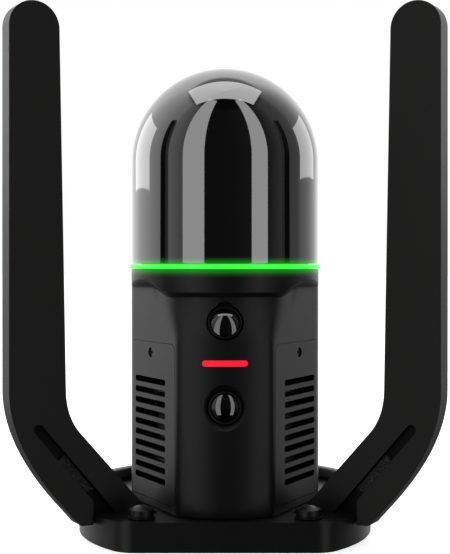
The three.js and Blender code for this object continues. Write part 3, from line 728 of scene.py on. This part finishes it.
def sideWindow(side):
    x0, x1 = (-window["front"], -window["rear"]) if side > 0 else (window["rear"], window["front"])
    return roundedOutline(x0, x1, window["bottom"], window["top"], panel["corner"])


def rearOutline(grow=0.0):
    half = panel["rearHalf"] + grow
    return roundedOutline(-half, half, panel["bottom"] - grow, panel["top"] + grow, panel["corner"] + grow)


def rearWindow():
    half = window["rearHalf"]
    return roundedOutline(-half, half, window["bottom"], window["top"], panel["corner"])


# An outline pushed out through the housing's wall from a start distance
def through(outline, azimuth, start):
    return facing(prism(outline, start, housing["column"] + 6), azimuth)


# The well that a cover plate sits in
def well(outline, azimuth):
    low, high = panel["bottom"] - panel["margin"], panel["top"] + panel["margin"]
    plug = plainInset(panel["thickness"] + gap, low, high)
    return combine(through(outline, azimuth, housing["flat"] - 12), [plug])


# The three upper cameras, and the lower one; each glass has a crown of its own curve
eye = {
    "height": 89.1, "elevation": 25, "barrel": 6.6, "recess": 7.4, "recessDepth": 2.4, "glass": 6.0,
    "curve": 10, "length": 14, "behind": 1.3, "rim": 0.3,
}
spot = {
    "height": 55.6, "barrel": 6.5, "sink": 9.1, "depth": 2.2, "glass": 5.5, "curve": 8.5, "length": 14,
    "behind": 1.5, "rim": 1.0,
}
glassFit = 0.1
eyeAzimuths = {"front": 0, "right": 120, "left": -120}


def aimEye(bm, azimuth):
    return facing(bm, azimuth, housingRadius(azimuth, eye["height"]), eye["height"], eye["elevation"])


def aimSpot(bm):
    return facing(bm, 0, housing["column"], spot["height"])


# The camera's recess: a round mouth with a softened rim, a hood notch above it and a bore behind
def eyeRecess():
    recess, depth = eye["recess"], eye["recessDepth"]
    mouth = turned([(0, -depth), (recess - 0.4, -depth), (recess, -2.0), (recess, 6), (0, 6)])
    notch = moved(rod(recess / 2, -2, 6), Matrix.Translation((0, recess / 2 + 1.2, 0)))
    bore = rod(eye["barrel"] + gap, -eye["length"] - 4, 6, 64)
    return combine(mouth, [notch, bore], "UNION")


def spotSink():
    bore = spot["barrel"] + gap
    return turned([
        (0, -spot["length"] - 4), (bore, -spot["length"] - 4), (bore, -spot["depth"]),
        (spot["sink"], 0), (spot["sink"] + 0.5, 4), (0, 4),
    ])


def makeHousing():
    wall, ceiling = housing["wall"], collar["top"] - collar["flange"]
    cavity = loft([
        lambda azimuth: (housingRadius(azimuth, foot) - wall, foot - 1),
        atHeight(neck["waist"], wall),
        lambda azimuth: (housingRadius(azimuth, collar["edge"]) - wall, ceiling),
    ], 96)
    opening = rod(collar["opening"], ceiling - 1, collar["top"] + 1, 96)
    cutters = [cavity, opening, aimSpot(spotSink())]
    cutters += [aimEye(eyeRecess(), azimuth) for azimuth in eyeAzimuths.values()]
    for side in sides.values():
        azimuth = side * housing["flatAzimuth"]
        cutters.append(well(sideOutline(side, gap), azimuth))
        cutters.append(through(sideWindow(side), azimuth, housing["flat"] - 10))
    cutters.append(well(rearOutline(gap), 180))
    cutters.append(through(rearWindow(), 180, housing["flat"] - 10))
    shell = combine(housingBlank(), cutters)
    finishPiece(shell, "housing_shown", "blackPaint", replaced="housing_shell", angle=24)
    print("housing made")


# A panel screw's stepped hole, drawn with the flat's outside at its own distance
def screwWell(x, y):
    flat, shank, wide = housing["flat"], panelScrew["shank"], panelScrew["well"]
    seat = flat - panelScrew["seat"]
    bm = turned([
        (0, flat - 4), (shank, flat - 4), (shank, seat), (wide, seat), (wide, flat + 1), (0, flat + 1),
    ], 32)
    return moved(bm, Matrix.Translation((x, y, 0)))


# A plate of the housing's skin with a ledge behind its edge, so that the seam is only a shallow line
def skinPlate(outline, azimuth):
    low, high = panel["bottom"] - panel["margin"], panel["top"] + panel["margin"]
    start = housing["flat"] - 12
    outer = combine(housingBlank(), [plainInset(panel["ledge"], low, high)])
    outer = combine(outer, [through(outline(0), azimuth, start)], "INTERSECT")
    core = plainInset(panel["thickness"], low - 1, high + 1)
    inner = combine(plainInset(panel["ledge"] - 0.06, low, high), [core])
    inner = combine(inner, [through(outline(gap - 0.04), azimuth, start)], "INTERSECT")
    return combine(outer, [inner], "UNION")


def makePanels():
    for label, side in sides.items():
        azimuth = side * housing["flatAzimuth"]
        plate = skinPlate(lambda grow, side=side: sideOutline(side, grow), azimuth)
        x0, x1 = (-vent["to"], -vent["from"]) if side > 0 else (vent["from"], vent["to"])
        slots = []
        for i in range(vent["count"]):
            top = vent["first"] - i * vent["pitch"]
            outline = roundedOutline(x0, x1, top - vent["height"], top, vent["round"], 4)
            slots.append(through(outline, azimuth, 30))
        slots.append(facing(screwWell(-side * panelScrew["along"], panelScrew["height"]), azimuth))
        name = f"{label}_vent_panel"
        finishPiece(combine(plate, slots), name + "_shown", "blackPaint", replaced=name, angle=24)
    plate = skinPlate(rearOutline, 180)
    offset = panel["rearHalf"] - panelScrew["fromEdge"]
    bores = [facing(screwWell(side * offset, panelScrew["height"]), 180) for side in (-1, 1)]
    socket = rod(connector["radius"] + gap, -6, 6)
    bores.append(facing(socket, 180, housing["flat"], connector["height"]))
    finishPiece(combine(plate, bores), "rear_cover_shown", "blackPaint", replaced="rear_cover", angle=24)
    print("panels made")


makeHousing()
makePanels()

# ---- Dome and light ring ----

dome = {"radius": 40, "wall": 2.4, "lip": 34.5, "lipHeight": 2.3, "edge": 0.35}
ring = {"inner": 36.2, "outer": 40.5, "edge": 0.35, "relief": 0.16}


def makeDome():
    low = span("dome")[0].z
    shoulder = span("dome")[1].z - dome["radius"]
    inner = dome["radius"] - dome["wall"]
    edge = dome["edge"]
    profile = [
        (dome["lip"], low), *arc(dome["radius"] - edge, low + edge, edge, -90, 0, 4),
        (dome["radius"], low + edge + 0.25),
        *[(dome["radius"], low + (shoulder - low) * share / 4) for share in range(1, 4)],
        *arc(0, shoulder, dome["radius"], 0, 90, 40), *arc(0, shoulder, inner, 90, 0, 24),
        (inner, low + dome["lipHeight"]), (dome["lip"], low + dome["lipHeight"]),
    ]
    finishPiece(turned(profile, 144), "dome_shown", "domeGloss", replaced="dome")
    low, high = span("light_ring")[0].z + ring["relief"], span("light_ring")[1].z - ring["relief"]
    edge = ring["edge"]
    profile = [
        (ring["inner"], low), *arc(ring["outer"] - edge, low + edge, edge, -90, 0, 4),
        *arc(ring["outer"] - edge, high - edge, edge, 0, 90, 4), (ring["inner"], high),
    ]
    finishPiece(turned(profile, 144), "light_ring_shown", "lightGreen", replaced="light_ring")
    print("dome made")


makeDome()

# ---- Cameras ----


# A barrel: outer tube, softened rim, stepped and grooved mouth, and a dark bore behind the glass
def barrelProfile(radius, aperture, length, rim, behind):
    seat = -behind
    return [
        (0, -length), (radius, -length), (radius, -rim - 0.4), *arc(radius - 0.2, -rim - 0.2, 0.2, 0, 90, 5),
        (aperture + 0.2, -rim), (aperture + 0.06, -rim - 0.2), (aperture + 0.06, -rim - 0.5),
        (aperture, -rim - 0.6), (aperture, seat - 1.9), (0, seat - 1.9),
    ]


def glassProfile(radius, curve, seat):
    drop = sqrt(curve * curve - radius * radius)
    steps = 16
    crown = []
    for i in range(steps - 1, -1, -1):
        out = radius * i / steps
        crown.append((out, seat + sqrt(curve ** 2 - out ** 2) - drop))
    return [(0, seat - 1.5), (radius, seat - 1.5), (radius, seat), *crown]


# The barrel and the glass of one camera, turned about +Z with the mouth at zero
def cameraPair(look):
    mouth, behind = look["glass"] + glassFit, look["behind"]
    barrel = barrelProfile(look["barrel"], mouth, look["length"], look["rim"], behind)
    glass = glassProfile(look["glass"], look["curve"], -behind)
    return turned(barrel, 96), turned(glass, 96)


def makeCameras():
    for label, azimuth in eyeAzimuths.items():
        barrel, glass = [aimEye(bm, azimuth) for bm in cameraPair(eye)]
        finishPiece(barrel, f"{label}_barrel_shown", "blackPlastic", replaced=f"{label}_camera_barrel")
        finishPiece(glass, f"{label}_glass_shown", "lensGlass", replaced=f"{label}_camera_glass")
    barrel, glass = [aimSpot(bm) for bm in cameraPair(spot)]
    finishPiece(barrel, "detail_barrel_shown", "blackPlastic", replaced="detail_camera_barrel")
    finishPiece(glass, "detail_glass_shown", "lensGlass", replaced="detail_camera_glass")
    print("cameras made")


makeCameras()

# ---- Base and its rear rim ----

base = {"radius": 62, "height": foot, "front": 47.5, "corner": 12, "edge": 0.8}
rim = {
    "inner": 59.8, "outer": 65.5, "from": 105, "crown": 2.4, "edge": 0.6, "lip": 0.8, "lift": 1.5,
    "undercut": 1.8,
}


def baseOutline(steps=150):
    reach = base["radius"] - base["corner"]
    drop = base["front"] - base["corner"]
    across = sqrt(reach * reach - drop * drop)
    lean = degrees(atan2(drop, across))
    return [
        *arc(0, 0, base["radius"], -lean, 180 + lean, steps)[:-1],
        *arc(-across, -drop, base["corner"], 180 + lean, 270, 14),
        *arc(across, -drop, base["corner"], -90, -lean, 14)[:-1],
    ]


# Nodes of the screws that come up through the base
def baseScrews():
    return [name for name in nodes if "arm_screw" in name or "housing_screw" in name]


# A hole up through the base: a wide mouth from below and a narrower bore above it
def steppedHole(x, y, mouth, depth, bore, steps):
    top = base["height"] + 1
    hole = turned([(0, -1), (mouth, -1), (mouth, depth), (bore, depth), (bore, top), (0, top)], steps)
    return moved(hole, Matrix.Translation((x, y, 0)))


def makeBase():
    holes = []
    for name in baseScrews():
        middle = middleOf(name)
        holes.append(steppedHole(middle.x, middle.y, 3.5, 4.3, 1.9, 32))
    for label in sides:
        x, y = knobPlace(label)
        holes.append(steppedHole(x, y, 6, 3.6, 3.1, 40))
    plate = combine(prism(baseOutline(), 0, base["height"]), holes)
    edge = base["edge"]
    finishPiece(plate, "base_shown", "blackPaint", replaced="base_plate", edge=edge, segments=3, angle=40)
    low, high = span("rear_rim")
    inner, outer, crown, edge, lip = [rim[key] for key in ("inner", "outer", "crown", "edge", "lip")]
    undercut = inner + rim["undercut"]
    profile = [
        (base["radius"] + gap, low.z), (outer - edge, low.z), (outer, low.z + edge),
        *arc(outer - crown, high.z - crown, crown, 0, 90, 8),
        *arc(inner + lip, high.z - lip, lip, 90, 180, 4),
        (inner, foot + rim["lift"]), (undercut, foot + rim["lift"]), (undercut, foot + gap),
        (base["radius"] + gap, foot + gap),
    ]
    sweep = 360 - 2 * rim["from"]
    bm = turned(profile, 72, sweep, rim["from"] - 90)
    finishPiece(bm, "rim_shown", "blackPaint", replaced="rear_rim", edge=0.3, angle=50)
    print("base made")


def knobPlace(label):
    joint = next(item for item in frame["joints"] if item["name"] == f"{label}_knob_turn")
    return joint["pos_m"][0] / mm, joint["pos_m"][1] / mm


makeBase()

# ---- Guard arms ----

arm = {
    "azimuth": 60, "thickness": 8, "outer": 97.7, "width": 20.6, "top": 214.1, "toe": 39, "hook": 62.5,
    "hookEnd": 68.5, "hookDrop": 3.8, "straight": 75, "outerBend": 63, "innerFoot": 74.4, "innerBend": 62,
    "bendReach": 1.42, "slope": 1.13, "edge": 0.7,
}
# The rounded outer corner of the hook: how far back it starts, how far on it ends, and how high
heel = {"back": 1.5, "on": 1.3, "rise": 1.9}
groove = {
    "x": 85.6, "z": 47.4, "width": 4, "depth": 3.5, "slope": 1.171, "padFrom": 75.5, "padTo": 62.8, "pad": 1,
    "padSlant": 1.2, "liner": 0.22, "linerFit": 0.05, "past": 8,
}


def armOutline():
    radius = arm["width"] / 2
    hookBottom = foot - arm["hookDrop"]
    start = arm["outer"] - arm["width"] * arm["bendReach"]
    hookEnd, straight, outer, innerFoot = [arm[key] for key in ("hookEnd", "straight", "outer", "innerFoot")]

    def outerAt(x):
        return hookBottom + heel["rise"] + (x - hookEnd - heel["on"]) * arm["slope"]

    def innerAt(x):
        return foot + (x - arm["toe"]) * arm["slope"]

    return [
        (arm["toe"], foot), (arm["hook"], foot), (arm["hook"], hookBottom),
        *bend((hookEnd - heel["back"], hookBottom), (hookEnd, hookBottom),
              (hookEnd + heel["on"], hookBottom + heel["rise"]), 6),
        *bend((straight, outerAt(straight)), (outer, outerAt(outer)), (outer, arm["outerBend"]), 28),
        *arc(outer - radius, arm["top"] - radius, radius, 0, 180, 40),
        *bend((innerFoot, arm["innerBend"]), (innerFoot - 0.2, innerAt(innerFoot)),
              (start, innerAt(start)), 20),
    ]


def grooveAlong(distance, aside):
    turn = atan(groove["slope"])
    x = groove["x"] - distance * cos(turn) + aside * sin(turn)
    return x, groove["z"] - distance * sin(turn) - aside * cos(turn)


def grooveOutline(inset=0.0):
    turn = degrees(atan(groove["slope"]))
    half = groove["width"] / 2 - inset
    runOut = (groove["z"] - foot + groove["past"]) / sin(radians(turn))
    wall = arm["hook"] + 0.2
    meet = (groove["x"] + half * sin(radians(turn)) - wall) / cos(radians(turn))
    return [
        *arc(groove["x"], groove["z"], half, turn - 90, turn + 90, 14), grooveAlong(runOut, -half),
        (wall, foot - groove["past"]), grooveAlong(meet, half),
    ]


def padOutline():
    half = groove["width"] / 2 - gap
    turn = atan(groove["slope"])

    def at(x, aside):
        return x + aside * sin(turn), groove["z"] - (groove["x"] - x) * groove["slope"] - aside * cos(turn)

    start, end = groove["padFrom"], groove["padTo"]
    return [at(end + groove["padSlant"], half), at(start, half), at(start, -half), at(end, -half)]


# A layer of an arm: its outline stands upright along the radius, between two depths behind the front face
def armLayer(outline, side, low, high):
    near, far = (low, high) if side > 0 else (-high, -low)
    bm = moved(prism(outline, near, far), Matrix.Rotation(radians(90), 4, "X"))
    return moved(bm, Matrix.Rotation(radians(side * arm["azimuth"] - 90), 4, "Z"))


def makeArms():
    half = arm["thickness"] / 2
    bed = half - groove["depth"]
    floor = bed + gap
    for label, side in sides.items():
        node = f"{label}_arm"
        cutter = armLayer(grooveOutline(), side, bed, half + 1)
        plate = combine(armLayer(armOutline(), side, -half, half), [cutter])
        finishPiece(plate, node + "_shown", "armPaint", edge=arm["edge"], segments=3, angle=30)
        # A thin liner darker than the arm's paint on the groove's floor: painted shade in the groove
        liner = armLayer(grooveOutline(groove["linerFit"]), side, bed, bed + groove["liner"])
        liner = combine(liner, [armLayer(armOutline(), side, -half, half)], "INTERSECT")
        finishPiece(liner, f"{label}_groove_bed", "grooveBlack", replaced=node, angle=30)
        pad = armLayer(padOutline(), side, floor, floor + groove["pad"])
        finishPiece(pad, f"{label}_strip_shown", "stripRubber", replaced=node + "_strip", edge=0.2, angle=30)
    print("arms made")


makeArms()

# ---- Knobs, screws, mark and connector ----

knob = {
    "radius": 5, "flange": 5.45, "height": 3.5, "crown": 1.2, "stem": 2.6, "low": 0.9, "soft": 0.5,
    "chamfer": 0.15,
}
tab = {"reach": 6.2, "half": 0.9, "corner": 0.35, "lift": 1.6}
# The bar at the foot of a knob's stem that locks it in the base
lock = {"long": 4.6, "wide": 1.7, "high": 2.0}


# A knob's domed top, from just inside its rim to the axis
def knobCrown(top):
    dish = knob["radius"] - knob["soft"]
    sphere = (dish * dish + knob["crown"] ** 2) / (2 * knob["crown"])
    steps = 12
    crown = []
    for i in range(steps - 1, -1, -1):
        out = dish * i / steps
        crown.append((out, top + sqrt(sphere ** 2 - out ** 2) - sphere + knob["crown"]))
    return crown


def knobProfile(seat, top):
    radius, flange, stem = [knob[key] for key in ("radius", "flange", "stem")]
    soft, chamfer = knob["soft"], knob["chamfer"]
    return [
        (0, knob["low"]), (stem, knob["low"]), (stem, seat), (flange - chamfer, seat),
        (flange, seat + chamfer), (flange, seat + 0.55), (radius - chamfer, seat + 0.7),
        (radius - chamfer, seat + 0.9), (radius, seat + 1.05),
        *arc(radius - soft, top - soft, soft, 0, 80, 6), *knobCrown(top),
    ]


def makeKnobs():
    seat = foot + gap
    top = seat + knob["height"]
    low, long, wide = knob["low"], lock["long"], lock["wide"]
    for label, side in sides.items():
        x, y = knobPlace(label)
        outline = roundedOutline(0, tab["reach"], -tab["half"], tab["half"], tab["corner"], 4)
        grip = prism(outline, seat + tab["lift"], top - knob["soft"])
        if side > 0:
            moved(grip, Matrix.Rotation(pi, 4, "Z"))
        cross = block(-long, long, -wide, wide, low, low + lock["high"])
        bm = combine(turned(knobProfile(seat, top), 80), [grip, cross], "UNION")
        moved(bm, Matrix.Translation((x, y, 0)))
        finishPiece(bm, f"{label}_knob_shown", "blackPlastic", f"{label}_fastener", angle=30)
    print("knobs made")


# A screw head with a softened rim and a six-sided socket, over its shank
def boltProfile(radius, shank, top, under, tip, soft=0.25):
    return [
        (0, tip), (shank, tip), (shank, under), (radius, under),
        *arc(radius - soft, top - soft, soft, 0, 90, 4), (0, top),
    ]


def makeScrews():
    flat = housing["flat"]
    places = {f"{label}_panel_screw": (-side * panelScrew["along"], side * housing["flatAzimuth"])
              for label, side in sides.items()}
    offset = panel["rearHalf"] - panelScrew["fromEdge"]
    places["rear_cover_screw_1"] = (-offset, 180)
    places["rear_cover_screw_2"] = (offset, 180)
    for name, (along, azimuth) in places.items():
        head = turned(boltProfile(panelScrew["head"], 1, flat - 0.7, flat - 1.5, flat - 3.3), 40)
        head = combine(head, [rod(0.75, flat - 1.35, flat, 6)])
        moved(head, Matrix.Translation((along, panelScrew["height"], 0)))
        finishPiece(facing(head, azimuth), name + "_shown", "blackenedSteel")
    for name in baseScrews():
        middle, tip = middleOf(name), span(name)[1].z
        bolt = moved(turned(boltProfile(2.9, 1.6, -1, -4, -tip), 40), Matrix.Rotation(pi, 4, "X"))
        bolt = combine(bolt, [rod(1.3, 0, 2.6, 6)])
        moved(bolt, Matrix.Translation((middle.x, middle.y, 0)))
        finishPiece(bolt, name + "_shown", "steel")
    print("screws made")


mark = {"width": 18, "height": 2.4, "level": 73, "thickness": 0.35}


# The mark: a round-ended bar bent over the column's front
def makeMark():
    level, tall = mark["level"], mark["height"]
    half = mark["width"] / 2
    outline = roundedOutline(-half, half, -tall / 2, tall / 2, tall / 2 - 0.01, 10)
    bar = facing(prism(outline, -3, 3), 0, housing["column"], level)
    skin = combine(rod(housing["column"] + mark["thickness"], level - tall, level + tall, 360),
                   [rod(housing["column"] + 0.02, level - tall - 1, level + tall + 1, 360)])
    finishPiece(combine(bar, [skin], "INTERSECT"), "mark_shown", "markRed", replaced="front_mark")


def makeConnector():
    radius, reach, bore, nut = [connector[key] for key in ("radius", "reach", "bore", "nut")]
    inside = connector["inside"]
    threads = []
    for turn in range(3):
        low = 2.0 + turn * 0.55
        threads += [(radius - 0.25, low), (radius, low + 0.27)]
    profile = [
        (0, -inside), (radius, -inside), (radius, 1.7), *threads,
        *arc(radius - 0.3, reach - 0.3, 0.3, 0, 90, 4), (bore + 0.3, reach), (bore, reach - 0.3),
        (bore, 1.6 - inside), (0, 1.6 - inside),
    ]
    collarNut = turned([(bore + 0.6, gap), (nut, gap), (nut, 1.5), (nut - 0.3, 1.8), (bore + 0.6, 1.8)], 72)
    grips = []
    for i in range(connector["flats"]):
        grip = moved(rod(0.5, 0, 3, 12), Matrix.Translation((nut + 0.25, 0, 0)))
        grips.append(moved(grip, Matrix.Rotation(2 * pi * i / connector["flats"], 4, "Z")))
    shell = combine(turned(profile, 72), [combine(collarNut, grips)], "UNION")
    shell = facing(shell, 180, housing["flat"], connector["height"])
    finishPiece(shell, "connector_shown", "steel", replaced="rear_connector")


makeKnobs()
makeScrews()
makeMark()
makeConnector()

# ---- Finishes on the CAD nodes that stay ----

keptFinish = {
    "rubber": ["dome_seal"],
    "aluminium": ["housing_floor", "frame", "bearing_deck", "heat_sink", "turret"],
    "circuit": ["main_board", "power_board"],
    "blackPlastic": [
        "inertial_unit", "left_fan_frame", "right_fan_frame", "left_fan_rotor", "right_fan_rotor",
        "slip_ring", "mirror_motor", "laser_tube",
    ],
    "steel": ["lower_bearing", "upper_bearing", "turret_spindle", "azimuth_rotor", "mirror_shaft"],
    "brass": ["azimuth_stator", "connector_insert"],
    "lensGlass": ["receiver_lens"],
    "mirrorCoat": ["scan_mirror"],
}


def dress(node, finish):
    node.data.materials.clear()
    node.data.materials.append(finishes[finish])


def dressNodes():
    for finish, names in keptFinish.items():
        for name in names:
            dress(nodes[name], finish)
    for name, node in nodes.items():
        if not node.hide_render and name not in sum(keptFinish.values(), []):
            dress(node, "blackPaint")


dressNodes()
print("CAD nodes dressed")
